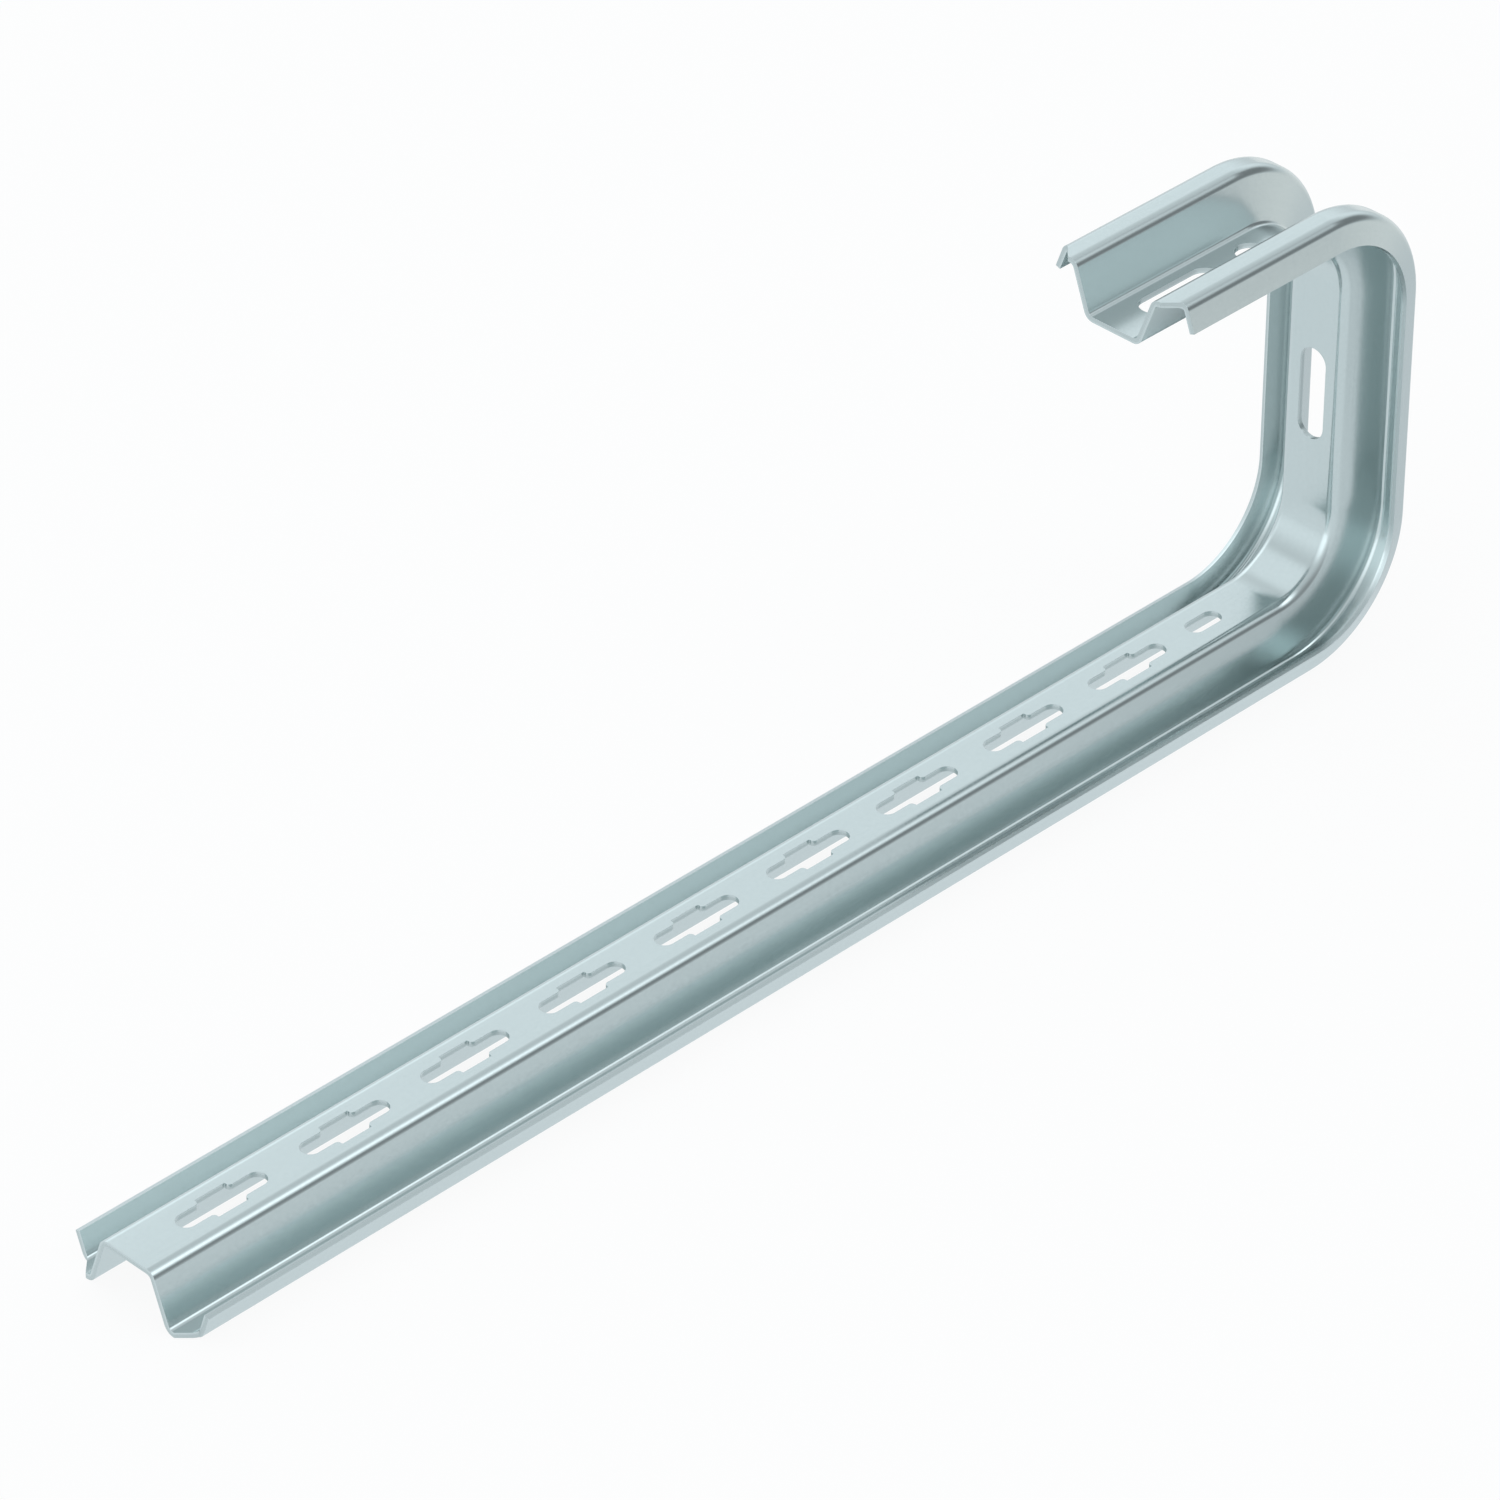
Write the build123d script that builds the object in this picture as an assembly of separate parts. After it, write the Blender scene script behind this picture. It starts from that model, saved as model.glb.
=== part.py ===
from build123d import *
from math import cos, floor, radians, sin, tan
import os

# C-shaped wall and ceiling bracket, bent from one strip of slotted hat-section steel.
# Millimetres. The wall plane is y = 0, the arms point along -Y, +X is right, +Z is up.
# The origin lies on the wall plane, on the axis of the slot in the upright leg.

# Overall sizes of the C.
lower_reach = 545.0
upper_reach = 120.0
overall_height = 175.0
bend_inner_radius = 25.0

# Hat section: the web faces the inside of the C, the feet face the wall and the ceiling.
sheet = 2.0
overall_width = 60.0
section_depth = 20.0
web_width = 23.0
slope_angle = 20.0
lip_height = 10.5
web_fold_radius = 2.0
foot_fold_radius = 2.0

# Corner cuts that take the points off the feet at both free ends.
corner_cut_start = 40.0
corner_cut_length = 5.2

# Stepped slots in the lower arm.
slot_length = 35.0
slot_width = 7.0
slot_step_length = 12.0
slot_step_width = 11.0
slot_step_corner_radius = 0.3
slot_shoulder_radius = 1.4
slot_pitch = 50.0
last_slot_from_wall = 107.3

# Short slot between the stepped slots and the lower bend.
short_slot_length = 15.0
short_slot_from_wall = 70.0

# Fixing slots and hole for the wall and the ceiling.
fixing_slot_length = 35.0
fixing_slot_width = 11.0
ceiling_slot_from_wall = 88.0
ceiling_hole_from_wall = 54.0

slotted_length = lower_reach - last_slot_from_wall - slot_length / 2
slot_count = floor(slotted_length / slot_pitch) + 1
inner_height = overall_height - 2 * section_depth
bend_from_wall = section_depth + bend_inner_radius
leg_half_height = inner_height / 2 - bend_inner_radius
slope = radians(slope_angle)
lip_end = Vector(overall_width / 2, section_depth - lip_height + sheet * sin(slope))


def half_corners(depth):
    """Corners of the right half of the section, depth into the sheet from the web's inner face."""
    foot = section_depth - sheet + depth
    flange_start = web_width / 2 - depth / cos(slope)
    lip_shift = (sheet - depth) / cos(slope)
    return [
        Vector(flange_start + depth * tan(slope), depth),
        Vector(flange_start + foot * tan(slope), foot),
        Vector(lip_end.X - lip_shift - (foot - lip_end.Y) * tan(slope), foot),
        lip_end - Vector(cos(slope), sin(slope)) * (sheet - depth),
    ]


def mirrored(points):
    return [Vector(-point.X, point.Y) for point in points]


def hat_section():
    """The folded strip's section: x across the strip, y outwards from the web's inner face."""
    upper = half_corners(0)
    under = half_corners(sheet)
    outline = mirrored(upper)[::-1] + upper + under[::-1] + mirrored(under)
    face = make_face(Polyline(outline, close=True))
    upper_radii = [web_fold_radius + sheet, foot_fold_radius, foot_fold_radius]
    under_radii = [web_fold_radius, foot_fold_radius + sheet, foot_fold_radius + sheet]
    for corners, radii in ((upper, upper_radii), (under, under_radii)):
        for corner, radius in zip(corners, radii):
            for point in [corner, *mirrored([corner])]:
                face = fillet(face.vertices().sort_by_distance(point)[0], radius)
    return face


def arm_plane(distance, height, outwards):
    """Plane across an arm at a distance from the wall, its y pointing out of the C."""
    return Plane(origin=(0, -distance, height), x_dir=(1, 0, 0), z_dir=(0, -outwards, 0))


def corner_cutters(reach, height):
    """Cutters for both corners of a free end: a 45 degree cut, then square across the lip."""
    start = corner_cut_start / 2
    half = overall_width / 2 + sheet
    outline = [
        (start - sheet, -reach - sheet),
        (start + corner_cut_length, -reach + corner_cut_length),
        (half, -reach + corner_cut_length),
        (half, -reach - sheet),
    ]
    cutter = make_face(Polyline(outline, close=True))
    cutter += mirror(cutter, Plane.YZ)
    return Pos(0, 0, height) * extrude(cutter, section_depth, both=True)


def stepped_slot():
    """A slot that is wider for a short way in its middle, its shoulders rounded more than its corners."""
    slot = SlotOverall(slot_length, slot_width) + Rectangle(slot_step_length, slot_step_width)
    for width, radius in ((slot_width, slot_shoulder_radius), (slot_step_width, slot_step_corner_radius)):
        corners = [Vector(x * slot_step_length, y * width) / 2 for x in (-1, 1) for y in (-1, 1)]
        for point in corners:
            slot = fillet(slot.vertices().sort_by_distance(point)[0], radius)
    return Rot(0, 0, 90) * slot


def along_arm(length, width):
    return SlotOverall(length, width, rotation=90)


web_height = inner_height / 2
section = hat_section()

# The strip, straight by straight and bend by bend.
lower_start = arm_plane(lower_reach, -web_height, -1)
lower_end = arm_plane(bend_from_wall, -web_height, -1)
leg_start = Plane(origin=(0, -section_depth, -leg_half_height), x_dir=(1, 0, 0), z_dir=(0, 0, 1))
leg_end = leg_start.offset(2 * leg_half_height)
upper_start = arm_plane(bend_from_wall, web_height, 1)

lower_arm = extrude(lower_start * section, lower_reach - bend_from_wall)
lower_bend = revolve(lower_end * section, Axis((0, -bend_from_wall, -leg_half_height), (1, 0, 0)), 90)
leg = extrude(leg_start * section, 2 * leg_half_height)
upper_bend = revolve(leg_end * section, Axis((0, -bend_from_wall, leg_half_height), (1, 0, 0)), 90)
upper_arm = extrude(upper_start * section, upper_reach - bend_from_wall)
strip = lower_arm + lower_bend + leg + upper_bend + upper_arm

strip -= corner_cutters(lower_reach, -web_height - section_depth / 2)
strip -= corner_cutters(upper_reach, web_height + section_depth / 2)

# Slots through the lower arm's web.
lower_slots = along_arm(short_slot_length, slot_width).moved(Location((0, -short_slot_from_wall)))
for number in range(slot_count):
    lower_slots += Pos(0, -last_slot_from_wall - number * slot_pitch) * stepped_slot()
strip -= Pos(0, 0, -web_height) * extrude(lower_slots, 2 * sheet, both=True)

# Fixing slot and hole through the upper arm's web.
upper_slots = Pos(0, -ceiling_slot_from_wall) * along_arm(fixing_slot_length, fixing_slot_width)
upper_slots += Pos(0, -ceiling_hole_from_wall) * Circle(fixing_slot_width / 2)
strip -= Pos(0, 0, web_height) * extrude(upper_slots, 2 * sheet, both=True)

# Fixing slot through the leg's web, for the wall.
wall_slot = Plane.XZ.offset(section_depth) * along_arm(fixing_slot_length, fixing_slot_width)
strip -= extrude(wall_slot, 2 * sheet, both=True)

bracket = strip.clean()
bracket.label = "bracket"

os.makedirs("parts", exist_ok=True)
export_step(bracket, "parts/bracket.step")
print("bracket", bracket.bounding_box().size, "solids", len(bracket.solids()), "volume", bracket.volume)
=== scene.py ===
# %% [markdown]
# # A wall bracket bent from slotted hat-section steel
# The real bracket is one strip of steel, 2 mm thick. It was coated with zinc as a coil, slotted
# on a press, rolled into a hat section, cut off, and bent twice into a C. This notebook makes
# it in much the same order, with mesh operators that do what each machine does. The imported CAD
# model gives the size, and the finished mesh stands in its place.

from math import cos, pi, radians, sin, tan

import bmesh
import bpy
from mathutils import Matrix, Vector
from mathutils.bvhtree import BVHTree


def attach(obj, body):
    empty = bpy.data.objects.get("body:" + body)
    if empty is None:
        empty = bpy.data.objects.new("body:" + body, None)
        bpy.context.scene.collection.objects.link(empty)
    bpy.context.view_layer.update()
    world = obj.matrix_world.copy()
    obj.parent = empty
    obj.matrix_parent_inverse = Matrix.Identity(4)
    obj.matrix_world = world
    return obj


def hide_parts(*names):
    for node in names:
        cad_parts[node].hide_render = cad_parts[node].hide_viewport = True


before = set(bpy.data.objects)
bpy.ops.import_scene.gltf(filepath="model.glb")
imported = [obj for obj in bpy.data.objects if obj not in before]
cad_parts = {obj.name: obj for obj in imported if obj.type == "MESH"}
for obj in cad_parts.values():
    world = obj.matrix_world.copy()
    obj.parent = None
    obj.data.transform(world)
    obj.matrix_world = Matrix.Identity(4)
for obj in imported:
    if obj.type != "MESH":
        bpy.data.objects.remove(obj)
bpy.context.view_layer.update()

# %% [markdown]
# ## Sizes
# Blender works in metres here, in the CAD frame: the wall plane is y = 0, the arms point along
# -Y and +Z is up. A fabricator writes millimetres, so each size below is in millimetres times
# one factor.

# %% The bracket's sizes
MM = 0.001

SHEET = 2.0 * MM
LOWER_REACH = 545.0 * MM
UPPER_REACH = 120.0 * MM
HEIGHT = 175.0 * MM
BEND_RADIUS = 25.0 * MM

WIDTH = 60.0 * MM
DEPTH = 20.0 * MM
WEB_WIDTH = 23.0 * MM
SLOPE_DEGREES = 20
LIP_HEIGHT = 10.5 * MM
WEB_FOLD = 2.0 * MM
FOOT_FOLD = 2.0 * MM

SLOPE = radians(SLOPE_DEGREES)
WEB_HEIGHT = HEIGHT / 2 - DEPTH
BEND_START = DEPTH + BEND_RADIUS
LEG_HALF = WEB_HEIGHT - BEND_RADIUS
print("inner height of the C:", round(2 * WEB_HEIGHT / MM, 1), "mm")

# %% [markdown]
# ## A pen that draws flats and folds
# A roll former leaves flats joined by folds, and a punched slot has straight sides and round
# corners. One pen draws both: it extrudes a vertex for each flat and spins it for each fold, so
# every arc is a true arc. A leg is the length to the next sharp corner, the turn there in
# degrees, and the radius there. The pen works in a plane across Y, and a positive turn goes
# from +X towards -Z.

# %% The pen
FOLD_STEPS = 10
TOUCHING = 0.001 * MM


def heading(angle):
    return Vector((cos(angle), 0, -sin(angle)))


def draw(mesh, start, angle, legs):
    tip = mesh.verts.new(start)
    used = 0.0
    for length, turn, radius in legs:
        turn = radians(turn)
        tangent = radius * tan(abs(turn) / 2)
        if length - used - tangent > TOUCHING:
            tip = bmesh.ops.extrude_vert_indiv(mesh, verts=[tip])["verts"][0]
            tip.co += heading(angle) * (length - used - tangent)
        if turn:
            centre = tip.co + heading(angle + pi / 2 * (1 if turn > 0 else -1)) * radius
            spun = bmesh.ops.spin(mesh, geom=[tip], cent=centre, axis=(0, 1, 0), angle=turn,
                                  steps=FOLD_STEPS, dvec=(0, 0, 0), use_duplicate=False)
            tip = spun["geom_last"][0]
        angle += turn
        used = tangent


print("each fold has", FOLD_STEPS, "small flats")

# %% [markdown]
# ## The hat section
# The web lies on the inside of the C. Each flange slopes out to a flat foot, and each foot ends
# in a lip that turns back. It could be one closed outline with both faces of the sheet, but
# then every fold would need two arcs that match. So only the face towards the inside of the C
# is drawn, from the middle of the web to the tip of the right lip. Mirror makes the left half,
# and the sheet gets its thickness later. Each point also keeps how far it lies across the flat
# strip, for the material's rolling lines.

# %% Draw the section at the free end of the lower arm
foot_depth = DEPTH - SHEET
tip_depth = DEPTH - LIP_HEIGHT
tip_x = WIDTH / 2 - SHEET * cos(SLOPE)
flange_end_x = WEB_WIDTH / 2 + foot_depth * tan(SLOPE)
lip_start_x = tip_x - (foot_depth - tip_depth) * tan(SLOPE)
fold = 90 - SLOPE_DEGREES

strip = bmesh.new()
across = strip.verts.layers.float.new("across")
along = strip.verts.layers.float.new("along")
draw(strip, (0, -LOWER_REACH, -WEB_HEIGHT), 0, [
    (WEB_WIDTH / 2, fold, WEB_FOLD + SHEET),
    (foot_depth / cos(SLOPE), -fold, FOOT_FOLD),
    (lip_start_x - flange_end_x, -fold, FOOT_FOLD),
    ((foot_depth - tip_depth) / cos(SLOPE), 0, 0),
])
strip.verts.ensure_lookup_table()
for last, point in zip(strip.verts, strip.verts[1:]):
    point[across] = last[across] + (point.co - last.co).length
half_width = max(point[across] for point in strip.verts)
bmesh.ops.mirror(strip, geom=strip.verts[:] + strip.edges[:], axis="X", merge_dist=TOUCHING)
for point in strip.verts:
    if point.co.x < 0:
        point[across] *= -1
print("flat strip width:", round(2 * half_width / MM, 1), "mm;", len(strip.verts), "points across")

# %% [markdown]
# ## From a section to a C
# The section is pushed forward as the strip leaves the rolls: straight along the lower arm,
# round the lower bend, up the leg, round the upper bend and out along the upper arm. A curve
# with a profile could draw the C too, but its corners would need their own handles. Extruding
# only the last row of edges and moving it gives one band of faces each time, and a bend is many
# small turns about its centre.

# %% Push the section round the C
BEND_STEPS = 32


def push(row, matrix, length):
    grown = bmesh.ops.extrude_edge_only(strip, edges=row)["geom"]
    points = {item for item in grown if isinstance(item, bmesh.types.BMVert)}
    bmesh.ops.transform(strip, matrix=matrix, verts=list(points))
    for point in points:
        point[along] += length
    edges = [item for item in grown if isinstance(item, bmesh.types.BMEdge)]
    return [edge for edge in edges if points >= set(edge.verts)]


def push_straight(row, direction, length):
    return push(row, Matrix.Translation(Vector(direction) * length), length)


def push_round(row, centre):
    step = Matrix.Rotation(pi / 2 / BEND_STEPS, 4, "X")
    about = Matrix.Translation(centre) @ step @ Matrix.Translation(-centre)
    for _ in range(BEND_STEPS):
        row = push(row, about, BEND_RADIUS * pi / 2 / BEND_STEPS)
    return row


row = push_straight(strip.edges[:], (0, 1, 0), LOWER_REACH - BEND_START)
row = push_round(row, Vector((0, -BEND_START, -LEG_HALF)))
row = push_straight(row, (0, 0, 1), 2 * LEG_HALF)
row = push_round(row, Vector((0, -BEND_START, LEG_HALF)))
push_straight(row, (0, -1, 0), UPPER_REACH - BEND_START)
flat_length = max(point[along] for point in strip.verts)
print("faces:", len(strip.faces), "length along the strip:", round(flat_length / MM), "mm")

# %% [markdown]
# ## Which side is the inside
# The thickness goes on behind the drawn face, so that face has to look into the C. Blender can
# make all the normals agree, but on an open sheet it can't know which of the two sides is
# meant. The largest face is the web of the lower arm, and it has to look up.

# %% Turn the faces towards the inside of the C
bmesh.ops.recalc_face_normals(strip, faces=strip.faces[:])
lower_web = max(strip.faces, key=lambda face: face.calc_area())
if lower_web.normal.z < 0:
    bmesh.ops.reverse_faces(strip, faces=strip.faces[:])
print("largest face at z =", round(lower_web.calc_center_median().z / MM, 1), "mm looks",
      "up" if lower_web.normal.z > 0 else "down")

# %% [markdown]
# ## A map of the flat strip
# The zinc coat and the marks of the rolls were made while the steel ran straight through the
# line, so they follow the strip and not the finished shape. A pattern on Object coordinates
# would run straight on where the strip bends away. The distances kept above become a UV map in
# metres, and the material reads it, so its lines run round both bends as they do on the real
# bracket.

# %% Turn the distances into a UV map
FLAT_MAP = "flat strip"
flat_map = strip.loops.layers.uv.new(FLAT_MAP)
for face in strip.faces:
    for loop in face.loops:
        loop[flat_map].uv = loop.vert[across], loop.vert[along]
print("UV map:", FLAT_MAP)

# %% [markdown]
# ## Thickness
# The drawn face is the one inside the C. A second face could be pushed round the C in the same
# way, but Solidify does it in one step: it adds the outer face 2 mm behind, parallel all round
# the folds and the bends, which is what a folded sheet is. The rim that joins the two faces is
# sheared steel without zinc, so it gets the second material slot.

# %% Give the strip its thickness
SHEARED = 1


def to_object(mesh, name):
    data = bpy.data.meshes.new(name)
    mesh.to_mesh(data)
    piece = bpy.data.objects.new(name, data)
    bpy.context.scene.collection.objects.link(piece)
    return piece


bracket = to_object(strip, "slotted_strip")
thicken = bracket.modifiers.new("sheet thickness", "SOLIDIFY")
thicken.thickness = SHEET
thicken.offset = -1
thicken.use_even_offset = True
thicken.use_quality_normals = True
thicken.material_offset_rim = SHEARED
print("sheet", SHEET / MM, "mm thick")

# %% [markdown]
# ## The punches
# Each hole in the bracket was punched. A hole could be left open while the web is drawn, but
# its round ends would cut the long flat faces to pieces, so each hole gets a solid punch of its
# shape instead. One quarter of the outline is drawn with the pen, mirrored twice, filled and
# pushed through as a prism, and then turned to face the web that it goes through. A third of a
# turn about the diagonal takes X to Y, Y to Z and Z to X, so that a punch drawn across Y lies
# along an arm and stands upright in its web. All the punches are one mesh, as in a gang tool.

# %% Helpers that make one punch
PUNCH_LENGTH = 4 * SHEET
THROUGH_ARM = Matrix.Rotation(2 * pi / 3, 3, Vector((1, 1, 1)))
THROUGH_LEG = Matrix.Rotation(-pi / 2, 3, "Y")
punches = bmesh.new()


def make_prism(outline, face, path):
    pushed = bmesh.ops.extrude_face_region(outline, geom=face)["geom"]
    far_end = [item for item in pushed if isinstance(item, bmesh.types.BMVert)]
    bmesh.ops.translate(outline, vec=path, verts=far_end)
    bmesh.ops.recalc_face_normals(outline, faces=outline.faces[:])


def add_to_tool(prism):
    block = bpy.data.meshes.new("punch")
    prism.to_mesh(block)
    punches.from_mesh(block)
    bpy.data.meshes.remove(block)


def punch(half_width, legs, turn, place):
    outline = bmesh.new()
    draw(outline, (0, 0, half_width), 0, legs)
    for axis in ("X", "Z"):
        bmesh.ops.mirror(outline, geom=outline.verts[:] + outline.edges[:], axis=axis,
                         merge_dist=TOUCHING)
    rim = bmesh.ops.contextual_create(outline, geom=outline.edges[:])["faces"]
    bmesh.ops.translate(outline, vec=(0, -PUNCH_LENGTH / 2, 0), verts=outline.verts[:])
    make_prism(outline, rim, (0, PUNCH_LENGTH, 0))
    bmesh.ops.rotate(outline, matrix=turn, verts=outline.verts[:])
    bmesh.ops.translate(outline, vec=place, verts=outline.verts[:])
    add_to_tool(outline)


def slot(length, width):
    return [(length / 2, 90, width / 2), (width / 2, 0, 0)]


print("a punch is", PUNCH_LENGTH / MM, "mm long")

# %% [markdown]
# ## The lower arm's slots
# The nine slots of the lower arm are wider for a short way in their middle, so that a bolt with
# a square neck can drop in there and slide along without turning. The step has crisp outer
# corners, and its shoulders are rounder. A short plain slot follows near the bend. The slots
# stand on a pitch of 50 mm, as the press left them when the strip moved on.

# %% Punch the lower arm
SLOT_LENGTH = 35.0 * MM
SLOT_WIDTH = 7.0 * MM
STEP_LENGTH = 12.0 * MM
STEP_WIDTH = 11.0 * MM
STEP_CORNER = 0.3 * MM
SHOULDER = 1.4 * MM
SLOT_PITCH = 50.0 * MM
SLOT_COUNT = 9
LAST_SLOT_FROM_WALL = 107.3 * MM
SHORT_SLOT_LENGTH = 15.0 * MM
SHORT_SLOT_FROM_WALL = 70.0 * MM

stepped_slot = [
    (STEP_LENGTH / 2, 90, STEP_CORNER),
    ((STEP_WIDTH - SLOT_WIDTH) / 2, -90, SHOULDER),
    ((SLOT_LENGTH - STEP_LENGTH) / 2, 90, SLOT_WIDTH / 2),
    (SLOT_WIDTH / 2, 0, 0),
]
for number in range(SLOT_COUNT):
    from_wall = LAST_SLOT_FROM_WALL + SLOT_PITCH * number
    punch(STEP_WIDTH / 2, stepped_slot, THROUGH_ARM, (0, -from_wall, -WEB_HEIGHT))
short_slot = slot(SHORT_SLOT_LENGTH, SLOT_WIDTH)
punch(SLOT_WIDTH / 2, short_slot, THROUGH_ARM, (0, -SHORT_SLOT_FROM_WALL, -WEB_HEIGHT))
print("corners of the lower arm's punches:", len(punches.verts))

# %% [markdown]
# ## The fixing slots
# The leg goes on a wall and the upper arm under a ceiling, each with one long slot for the
# fixing bolt. The upper arm has a round hole behind its slot as well. They are all 11 mm wide,
# for a 10 mm bolt, and a round hole is only a slot as long as it is wide.

# %% Punch the upper arm and the leg
FIXING_LENGTH = 35.0 * MM
FIXING_WIDTH = 11.0 * MM
CEILING_SLOT_FROM_WALL = 88.0 * MM
CEILING_HOLE_FROM_WALL = 54.0 * MM

long_slot = slot(FIXING_LENGTH, FIXING_WIDTH)
hole = slot(FIXING_WIDTH, FIXING_WIDTH)
punch(FIXING_WIDTH / 2, long_slot, THROUGH_ARM, (0, -CEILING_SLOT_FROM_WALL, WEB_HEIGHT))
punch(FIXING_WIDTH / 2, hole, THROUGH_ARM, (0, -CEILING_HOLE_FROM_WALL, WEB_HEIGHT))
punch(FIXING_WIDTH / 2, long_slot, THROUGH_LEG, (0, -DEPTH, 0))
print("corners of all the punches:", len(punches.verts))

# %% [markdown]
# ## The corner cutters
# At both free ends the points of the feet are cut off at 45 degrees, and the lips square, so
# that they don't catch a hand. The cutter is a prism through the feet and lips. Its outline has
# only four sharp corners, so it is laid flat without the pen, and pushed up through the
# section.

# %% Make the corner cutters
CUT_START = 20.0 * MM
CUT_LENGTH = 5.2 * MM


def corner_cutter(reach, height):
    for side in (1, -1):
        outline = bmesh.new()
        corners = [
            (CUT_START - SHEET, -reach - SHEET),
            (CUT_START + CUT_LENGTH, -reach + CUT_LENGTH),
            (WIDTH / 2 + SHEET, -reach + CUT_LENGTH),
            (WIDTH / 2 + SHEET, -reach - SHEET),
        ]
        for x, y in corners:
            outline.verts.new((side * x, y, height - DEPTH))
        base = bmesh.ops.contextual_create(outline, geom=outline.verts[:])["faces"]
        make_prism(outline, base, (0, 0, 2 * DEPTH))
        add_to_tool(outline)


corner_cutter(LOWER_REACH, -WEB_HEIGHT - DEPTH / 2)
corner_cutter(UPPER_REACH, WEB_HEIGHT + DEPTH / 2)
print("with the corner cutters:", len(punches.faces), "faces")

# %% [markdown]
# ## Press the punches through
# A Boolean takes the punches out of the strip. The walls that it leaves come from the punches,
# and they are sheared steel like the rim, so the punches' faces carry the second material slot
# too. The strip and the punches all have a line along their middle, and where these meet, the
# cut leaves points on top of each other. A Weld makes each such pair one point, which keeps the
# mesh closed.

# %% Cut the openings and the corners
punch_set = to_object(punches, "punches")
for name in ("strip galvanised steel", "sheared edge"):
    material = bpy.data.materials.new(name)
    for piece in (bracket, punch_set):
        piece.data.materials.append(material)
for face in punch_set.data.polygons:
    face.material_index = SHEARED

press = bracket.modifiers.new("punching", "BOOLEAN")
press.operation = "DIFFERENCE"
press.solver = "EXACT"
press.object = punch_set
weld = bracket.modifiers.new("no doubles", "WELD")
weld.merge_threshold = TOUCHING
print("material slots:", [material.name for material in bracket.data.materials])

# %% [markdown]
# ## Broken edges
# A fresh sheared edge is sharp, and drawing through the rolls and a few months of handling take
# off about a tenth of a millimetre. A bevel of 0.08 mm does the same, so that the edges catch
# the light. Weighted normals then keep the flats flat and the folds round, because they let the
# large faces decide, where plain smooth shading would smear one into the other.

# %% Round the edges and shade the folds
BROKEN_EDGE = 0.08 * MM
EDGE_STEPS = 2
SHARPEST_FOLD = radians(40)
LARGE_FACES_FIRST = 100

edges = bracket.modifiers.new("broken edges", "BEVEL")
edges.width = BROKEN_EDGE
edges.segments = EDGE_STEPS
edges.limit_method = "ANGLE"
edges.angle_limit = SHARPEST_FOLD
edges.use_clamp_overlap = False
flats = bracket.modifiers.new("flat flats", "WEIGHTED_NORMAL")
flats.weight = LARGE_FACES_FIRST
flats.keep_sharp = False
for piece in (bracket, punch_set):
    for face in piece.data.polygons:
        face.use_smooth = True
print("modifiers:", [modifier.name for modifier in bracket.modifiers])

# %% [markdown]
# ## Keep the result
# The punches are tools, and a tool doesn't stay in the part. The evaluated mesh, with every
# modifier in it, takes the place of the drawn one, and then the punches can go.

# %% Make the modifiers part of the mesh
depsgraph = bpy.context.evaluated_depsgraph_get()
finished = bpy.data.meshes.new_from_object(bracket.evaluated_get(depsgraph), depsgraph=depsgraph)
bracket.modifiers.clear()
bracket.data = finished
finished.name = "slotted_strip"
bpy.data.objects.remove(punch_set)
triangles = sum(len(face.vertices) - 2 for face in finished.polygons)
print("triangles in the finished bracket:", triangles)

# %% [markdown]
# ## How deep each point lies
# The sheared walls change over the 2 mm from the face where the punch went in to the face where
# it came out. The drawn face is still there, so the distance from it is each point's depth in
# the sheet, the last of the four values that find_nearest gives. It is kept as an attribute
# named depth, and the material of the sheared edges reads it.

# %% Keep the depth in the sheet
DEPTH_NAME = "depth"
drawn_face = BVHTree.FromBMesh(strip)
depths = finished.attributes.new(DEPTH_NAME, "FLOAT", "POINT")
for point, depth in zip(finished.vertices, depths.data):
    depth.value = drawn_face.find_nearest(point.co)[3]
print("deepest point:", round(max(depth.value for depth in depths.data) / MM, 2), "mm")

# %% [markdown]
# ## Tools for the materials
# A material is a small graph of nodes. One function adds a node with its settings and its
# inputs: an input is named, with _ for a space, or numbered, as _0 is, where names repeat.
# Another turns a colour as it is written for a screen, in sRGB, to the linear numbers that the
# renderer works with, by the two parts of the sRGB curve.

# %% Colour and node helpers


def linear(hex_colour):
    values = [int(hex_colour[i:i + 2], 16) / 255 for i in (1, 3, 5)]
    return [v / 12.92 if v <= 0.04045 else ((v + 0.055) / 1.055) ** 2.4 for v in values] + [1.0]


def add(tree, kind, settings=None, **inputs):
    node = tree.nodes.new("ShaderNode" + kind)
    for name, value in (settings or {}).items():
        setattr(node, name, value)
    for name, value in inputs.items():
        numbered = name[0] == "_"
        socket = node.inputs[int(name[1:])] if numbered else node.inputs[name.replace("_", " ")]
        if isinstance(value, bpy.types.NodeSocket):
            tree.links.new(value, socket)
        else:
            socket.default_value = value
    return node


def empty_tree(owner):
    owner.use_nodes = True
    owner.node_tree.nodes.clear()
    return owner.node_tree


print("middle grey is", [round(value, 3) for value in linear("#808080")])

# %% [markdown]
# ## Strip-galvanised steel
# The strip was drawn through a bath of molten zinc while it was still a coil, and then pressed
# by a smooth roll, the skin pass. That leaves a satin coat with no large zinc flowers: light
# grey with a breath of blue, with faint lines in the direction of rolling and a grain of about
# a millimetre that only shows as a slight change of gloss. One roughness and one colour would
# look like plastic. So a noise that is stretched along the flat strip draws the lines, a round
# noise draws the grain, and both together move the gloss and the colour a little.

# %% The pattern of the zinc coat
GRAIN = 1.1 * MM
LINE_SPACING = 0.7 * MM
LINE_LENGTH = 60.0 * MM
LINE_SHARE = 0.4

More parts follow.
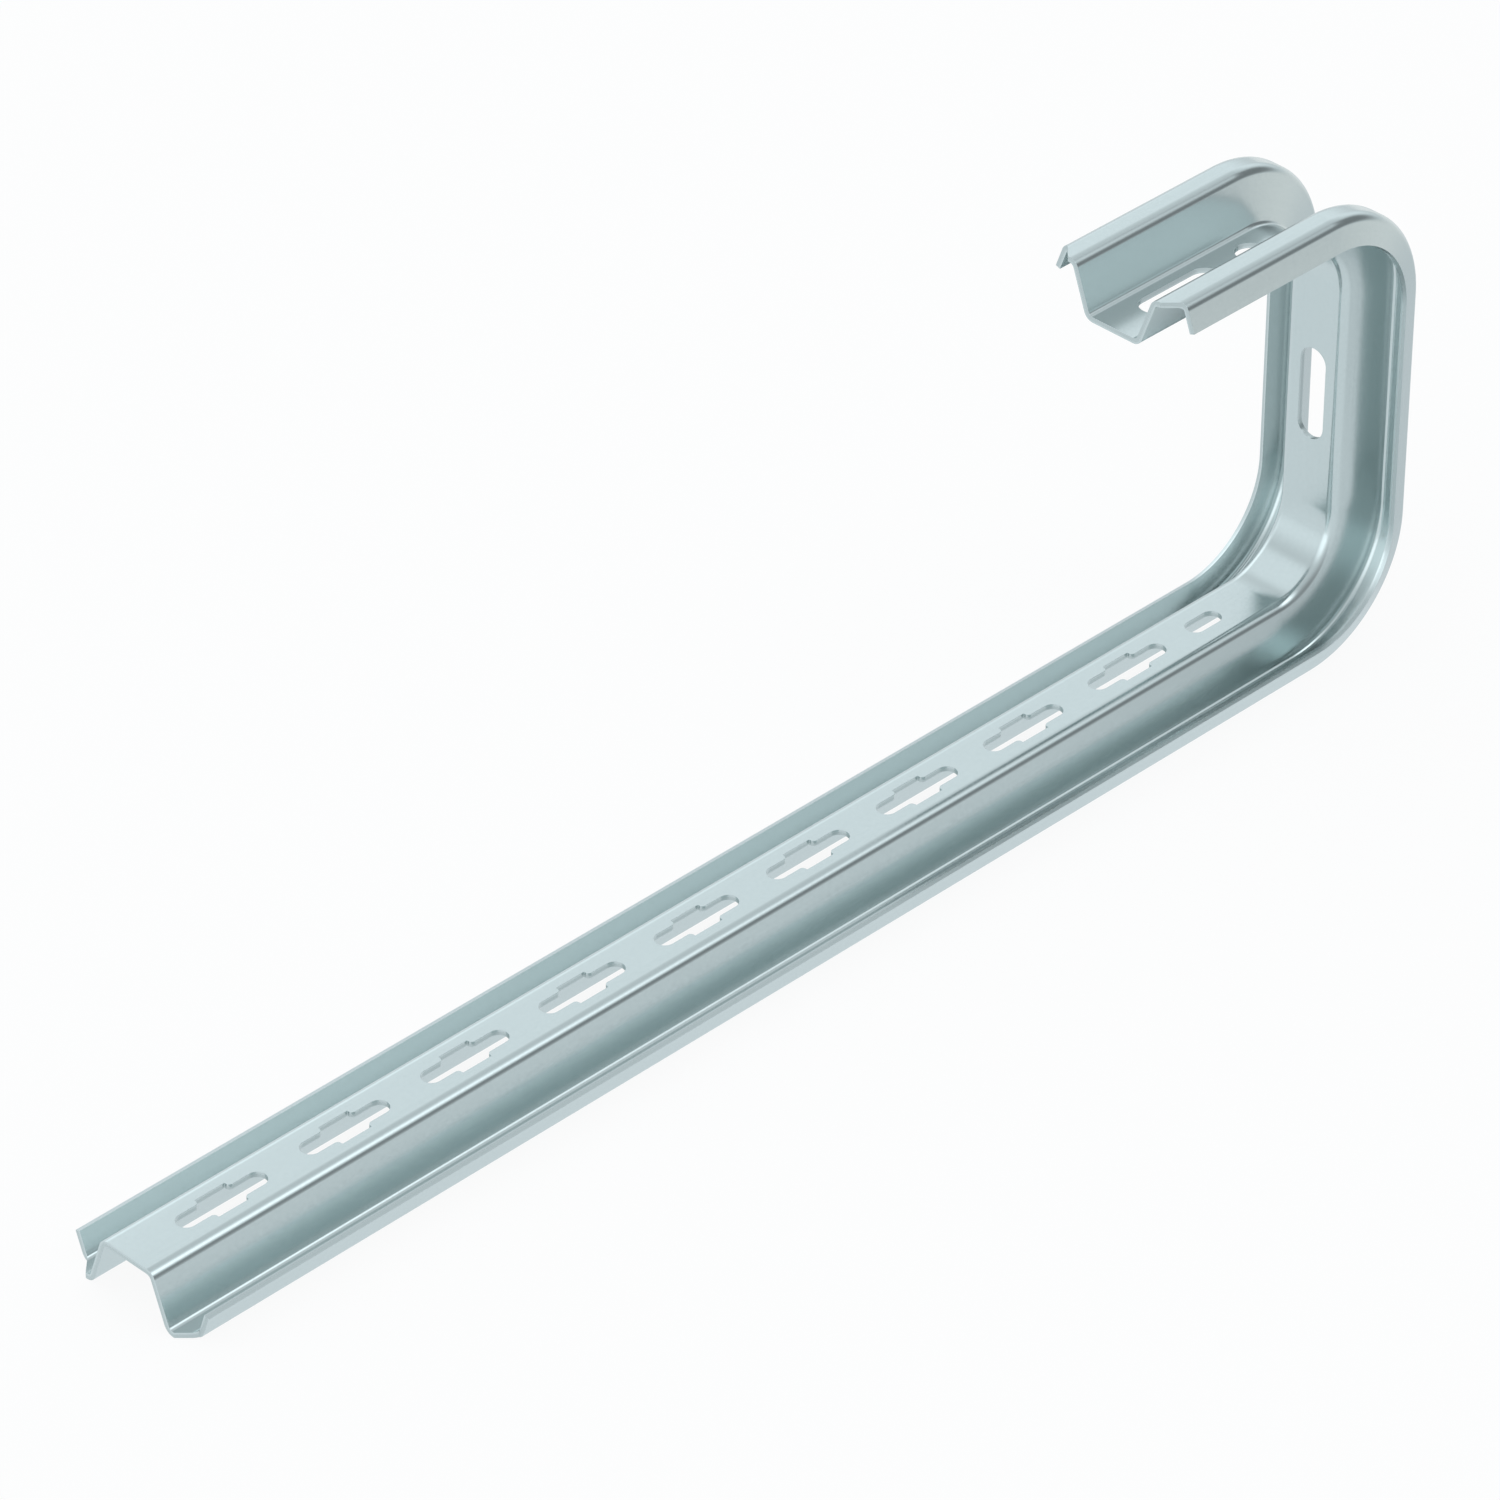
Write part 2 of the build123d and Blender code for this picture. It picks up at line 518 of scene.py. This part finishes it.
zinc = empty_tree(bpy.data.materials["strip galvanised steel"])
flat_place = add(zinc, "UVMap", {"uv_map": FLAT_MAP}).outputs[0]
solid_place = add(zinc, "TexCoord").outputs["Object"]
stretched = add(zinc, "Mapping", {"vector_type": "POINT"}, Vector=flat_place,
                Scale=(1 / LINE_SPACING, 1 / LINE_LENGTH, 1)).outputs[0]
lines = add(zinc, "TexNoise", Vector=stretched, Scale=1.0, Detail=3.0, Roughness=0.6).outputs[0]
grain = add(zinc, "TexNoise", Vector=solid_place, Scale=1 / GRAIN, Detail=2.0,
            Roughness=0.5).outputs[0]
coat = add(zinc, "Mix", {"data_type": "FLOAT"}, _0=LINE_SHARE, _2=grain, _3=lines).outputs[0]
print("lines", round(LINE_SPACING / MM, 2), "mm apart, grain", round(GRAIN / MM, 2), "mm")

# %% [markdown]
# Most of a noise lies between 0.3 and 0.7, so that range is spread over the roughness and the
# colour. The skin pass leaves the zinc fairly bright, at a roughness from 0.15 to 0.22: the
# folds get a narrow shine and the flats stay soft. Sheet is never quite flat either. A bump of
# some micrometres over 14 mm bends the reflections a little, as on the real strip, and a finer
# bump would only look like dirt.

# %% Strip-galvanised steel
WAVE = 14.0 * MM
WAVE_HEIGHT = 0.01 * MM
WAVE_STRENGTH = 0.5
NOISE_LOW, NOISE_HIGH = 0.3, 0.7
ZINC_ROUGHNESS_LOW, ZINC_ROUGHNESS_HIGH = 0.15, 0.22

gloss = add(zinc, "MapRange", Value=coat, From_Min=NOISE_LOW, From_Max=NOISE_HIGH,
            To_Min=ZINC_ROUGHNESS_LOW, To_Max=ZINC_ROUGHNESS_HIGH).outputs[0]
tone = add(zinc, "MapRange", Value=coat, From_Min=NOISE_LOW, From_Max=NOISE_HIGH, To_Min=0.0,
           To_Max=1.0).outputs[0]
colour = add(zinc, "Mix", {"data_type": "RGBA"}, _0=tone, _6=linear("#c9d3d3"),
             _7=linear("#c6d0d0")).outputs[2]
waves = add(zinc, "TexNoise", Vector=solid_place, Scale=1 / WAVE, Detail=1.0).outputs[0]
relief = add(zinc, "Bump", Strength=WAVE_STRENGTH, Distance=WAVE_HEIGHT, Height=waves).outputs[0]
zinc_body = add(zinc, "BsdfPrincipled", Base_Color=colour, Metallic=1.0, Roughness=gloss,
                Normal=relief)
add(zinc, "OutputMaterial", Surface=zinc_body.outputs[0])
print("zinc nodes:", len(zinc.nodes))

# %% [markdown]
# ## Sheared edge
# A punch first pushes the steel aside and rubs it smooth, and then the rest of the thickness
# breaks. So the wall of a hole has a bright burnished band on the side where the punch went in,
# and a duller, grainy band below it. The depth that was kept at each point says which band it
# is in, and a noise makes the border between the two uneven. Some zinc is wiped over the cut,
# which keeps it nearly as light as the coat.

# %% Where the burnished band ends
BURNISHED = 0.7 * MM
BORDER = 0.25 * MM
FRACTURE_GRAIN = 0.35 * MM

cut_steel = empty_tree(bpy.data.materials["sheared edge"])
depth = add(cut_steel, "Attribute", {"attribute_name": DEPTH_NAME}).outputs["Fac"]
place = add(cut_steel, "TexCoord").outputs["Object"]
grit = add(cut_steel, "TexNoise", Vector=place, Scale=1 / FRACTURE_GRAIN, Detail=2.0).outputs[0]
uneven = add(cut_steel, "MapRange", Value=grit, From_Min=NOISE_LOW, From_Max=NOISE_HIGH,
             To_Min=-BORDER, To_Max=BORDER).outputs[0]
reach = add(cut_steel, "Math", {"operation": "ADD"}, _0=depth, _1=uneven).outputs[0]
broken = add(cut_steel, "MapRange", {"interpolation_type": "SMOOTHSTEP"}, Value=reach,
             From_Min=BURNISHED - BORDER, From_Max=BURNISHED + BORDER, To_Min=0.0,
             To_Max=1.0).outputs[0]
print("burnished to", round(BURNISHED / MM, 2), "mm of", SHEET / MM)

# %% Sheared edge
GRIT_HEIGHT = 0.004 * MM
GRIT_STRENGTH = 0.15
BURNISHED_ROUGHNESS, BROKEN_ROUGHNESS = 0.18, 0.3

bare = add(cut_steel, "Mix", {"data_type": "RGBA"}, _0=broken, _6=linear("#cad4d4"),
           _7=linear("#c1cbcb")).outputs[2]
dull = add(cut_steel, "MapRange", Value=broken, To_Min=BURNISHED_ROUGHNESS,
           To_Max=BROKEN_ROUGHNESS).outputs[0]
pits = add(cut_steel, "Bump", Strength=GRIT_STRENGTH, Distance=GRIT_HEIGHT, Height=grit).outputs[0]
cut_body = add(cut_steel, "BsdfPrincipled", Base_Color=bare, Metallic=1.0, Roughness=dull,
               Normal=pits)
add(cut_steel, "OutputMaterial", Surface=cut_body.outputs[0])
print("sheared edge nodes:", len(cut_steel.nodes))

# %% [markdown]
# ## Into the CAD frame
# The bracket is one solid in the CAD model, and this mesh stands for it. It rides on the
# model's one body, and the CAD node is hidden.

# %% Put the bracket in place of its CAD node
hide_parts("bracket")
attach(bracket, "root")
print(bracket.name, "stands for the CAD node")

# %% [markdown]
# ## Floor
# The bracket stands on a sheet of white studio paper, on the feet of its lower arm. A backdrop
# that curves up would do too, but the steel would mirror it as a band, and it would hide the
# part from some sides. So the sheet is one large plane at the lowest point of the part. It isn't
# part of the object.

# %% The floor
FLOOR_HALF_SIZE = 8.0

floor_mesh = bmesh.new()
bmesh.ops.create_grid(floor_mesh, x_segments=1, y_segments=1, size=FLOOR_HALF_SIZE)
bmesh.ops.translate(floor_mesh, vec=(0, 0, -HEIGHT / 2), verts=floor_mesh.verts[:])
floor = to_object(floor_mesh, "studio_floor")
print("floor at", round(-HEIGHT / 2 / MM, 1), "mm")

# %% [markdown]
# ## The light that the paper gives back
# To the camera, and in the steel's reflections, the paper is mostly a plain white glow, so that
# the background is white without more light on the bracket. The rest is matt white, which keeps
# the faint shadow. In reflections the glow has the lamps' cool tint. Close behind the wall plane
# the glow that reflections see is painted darker, a painted shade where the paper lies away from
# the lamps, and further back it is painted fully bright again. The steel mirrors this painted
# shade, and it gives the outer faces of leg and upper arm their different greys.

# %% The paper's glow
GLOW_SHARE = 0.91
LAMP_TINT = "#f4fbff"
SHADE_START, SHADE_FULL = -70 * MM, 70 * MM
SHADE_FADES, SHADE_GONE = 200 * MM, 600 * MM

paper_material = bpy.data.materials.new("white studio paper")
floor.data.materials.append(paper_material)
paper = empty_tree(paper_material)
ray = add(paper, "LightPath").outputs
seen = add(paper, "Math", {"operation": "MAXIMUM"}, _0=ray["Is Camera Ray"],
           _1=ray["Is Glossy Ray"]).outputs[0]
seen = add(paper, "Math", {"operation": "MAXIMUM"}, _0=seen,
           _1=ray["Is Transmission Ray"]).outputs[0]
spot = add(paper, "SeparateXYZ", Vector=add(paper, "TexCoord").outputs["Object"]).outputs
# Painted shade: the glow that reflections see is darker close behind the wall plane and bright
# again further back.
painted_shade_behind_wall = add(paper, "MapRange", {"interpolation_type": "SMOOTHSTEP"}, Value=spot["Y"],
             From_Min=SHADE_START, From_Max=SHADE_FULL, To_Min=0.0, To_Max=1.0).outputs[0]
painted_shade_fade_out = add(paper, "MapRange", {"interpolation_type": "SMOOTHSTEP"}, Value=spot["Y"],
               From_Min=SHADE_FADES, From_Max=SHADE_GONE, To_Min=0.0, To_Max=1.0).outputs[0]
reflected_glow_with_painted_shade = add(paper, "Mix", {"data_type": "RGBA"}, _0=painted_shade_behind_wall, _6=linear(LAMP_TINT),
                _7=linear("#dbe2e6")).outputs[2]
reflected_glow_with_painted_shade = add(paper, "Mix", {"data_type": "RGBA"}, _0=painted_shade_fade_out, _6=reflected_glow_with_painted_shade,
                _7=linear("#fdffff")).outputs[2]
glow_colour = add(paper, "Mix", {"data_type": "RGBA"}, _0=ray["Is Camera Ray"], _6=reflected_glow_with_painted_shade,
                  _7=linear("#ffffff")).outputs[2]
glow = add(paper, "Emission", Color=glow_colour, Strength=1.0).outputs[0]
matt = add(paper, "BsdfDiffuse", Color=linear("#f4f4f4")).outputs[0]
share = add(paper, "Math", {"operation": "MULTIPLY"}, _0=seen, _1=GLOW_SHARE).outputs[0]
surface = add(paper, "MixShader", _0=share, _1=matt, _2=glow).outputs[0]
print("glow share:", GLOW_SHARE)

# %% [markdown]
# Smooth paper also shines a little when it is looked at along its surface. The outer faces of
# the flanges see the floor in that way, and without the shine they would be too light. Only
# reflections see it.

# %% The paper's shine
SHINE_SHARE = 0.3
SHINE_ROUGHNESS = 0.25
PAPER_IOR = 1.45

fresnel = add(paper, "Fresnel", IOR=PAPER_IOR).outputs[0]
in_reflections = add(paper, "Math", {"operation": "MULTIPLY"}, _0=ray["Is Glossy Ray"],
                     _1=SHINE_SHARE).outputs[0]
grazing = add(paper, "Math", {"operation": "MULTIPLY"}, _0=fresnel, _1=in_reflections).outputs[0]
shine = add(paper, "BsdfGlossy", Color=linear("#ffffff"), Roughness=SHINE_ROUGHNESS).outputs[0]
surface = add(paper, "MixShader", _0=grazing, _1=surface, _2=shine).outputs[0]
add(paper, "OutputMaterial", Surface=surface)
print("paper nodes:", len(paper.nodes))

# %% [markdown]
# ## The studio
# Bare metal shows its surroundings, so its look is made by what stands round it. Product
# pictures of steel are taken in a light tent: soft white walls give the flats an even tone,
# bright boxes draw the thin shine along the folds, and dark cards give the faces that look away
# from the light their depth. Area lamps could do this, but a lamp near such a long part lights
# one end more than the other. The world is equally far from all of it, so the world is the
# tent. Each panel is a soft-edged oval in one direction, laid over the ones before it, and its
# level is its brightness, where 1 shows a colour as it is written.

# %% The tent's walls, boxes and cards
TENT_LEVEL = 0.81
PANELS = [
    # name, azimuth, elevation, half width, half height (degrees), soft edge, level
    ("back left wall", 131, 27, 90, 14, 0.98, 1.16),
    ("right wall", 11, 18, 22, 28, 0.96, 0.39),
    ("dark card, right", 58, 21, 29, 19, 0.4, 0.28),
    ("top right shade", 55, 45, 12, 10, 0.98, 0.05),
    ("front soft box", -77, 12, 28, 22, 0.7, 1.63),
    ("front left haze", -137, 11, 17, 16, 0.98, 1.26),
    ("left soft box", 171, 26, 24, 19, 0.5, 1.61),
    ("top left lamp", 189, 52, 22, 18, 0.26, 1.12),
    ("top soft box", 43, 52, 12, 14, 0.98, 2.15),
]


def direction(azimuth, elevation):
    azimuth, elevation = radians(azimuth), radians(elevation)
    return Vector((cos(elevation) * cos(azimuth), cos(elevation) * sin(azimuth), sin(elevation)))


def chord(half_angle):
    return 2 * sin(radians(half_angle) / 2)


print("panels:", ", ".join(panel[0] for panel in PANELS))

# %% [markdown]
# A Mapping node turns and scales the direction of view so that a panel's rim is at distance 1
# from its middle, and its label names the panel. A panel's size is an angle, and the node works
# with distances, so a chord turns one into the other. Map Range fades that distance from inside
# to outside, and Mix lays the panel over the level so far. The light has the same cool tint as
# the paper reflects.

# %% The world
world = bpy.data.worlds.new("studio")
bpy.context.scene.world = world
tent = empty_tree(world)
look = add(tent, "TexCoord").outputs["Generated"]
level = TENT_LEVEL
for name, azimuth, elevation, half_width, half_height, edge, brightness in PANELS:
    from_middle = add(tent, "Mapping", {"vector_type": "TEXTURE", "label": name}, Vector=look,
                      Location=direction(azimuth, elevation),
                      Rotation=(0, radians(-elevation), radians(azimuth)),
                      Scale=(1.0, chord(half_width), chord(half_height))).outputs[0]
    away = add(tent, "VectorMath", {"operation": "LENGTH"}, Vector=from_middle).outputs["Value"]
    inside = add(tent, "MapRange", {"interpolation_type": "SMOOTHSTEP"}, Value=away,
                 From_Min=1 - edge, From_Max=1 + edge, To_Min=1.0, To_Max=0.0).outputs[0]
    level = add(tent, "Mix", {"data_type": "FLOAT"}, _0=inside, _2=level, _3=brightness).outputs[0]
light = add(tent, "Background", Color=linear(LAMP_TINT), Strength=level).outputs[0]
add(tent, "OutputWorld", Surface=light)
print("tent nodes:", len(tent.nodes))

# %% [markdown]
# ## The camera
# The photograph looks at the bracket from its front right, 45 degrees round and 35 degrees up,
# through a long lens from far away, so that parallel edges stay almost parallel. The place and
# the lens were fitted to the corners of the part in the photograph.

# %% The camera
CAMERA_PLACE = (1.36484, -1.64837, 1.33760)
CAMERA_ROUND, CAMERA_UP = radians(45), radians(35)
LENS = 180.90
SENSOR_WIDTH = 36.0
FARTHEST = 50.0

camera_data = bpy.data.cameras.new("camera")
camera_data.lens = LENS
camera_data.sensor_width = SENSOR_WIDTH
camera_data.clip_end = FARTHEST
camera = bpy.data.objects.new("camera", camera_data)
camera.location = CAMERA_PLACE
camera.rotation_euler = (pi / 2 - CAMERA_UP, 0, CAMERA_ROUND)
bpy.context.scene.collection.objects.link(camera)
bpy.context.scene.camera = camera
bpy.context.scene.view_settings.view_transform = "Standard"
print("camera", round(camera.location.length, 2), "m from the wall plane's middle")
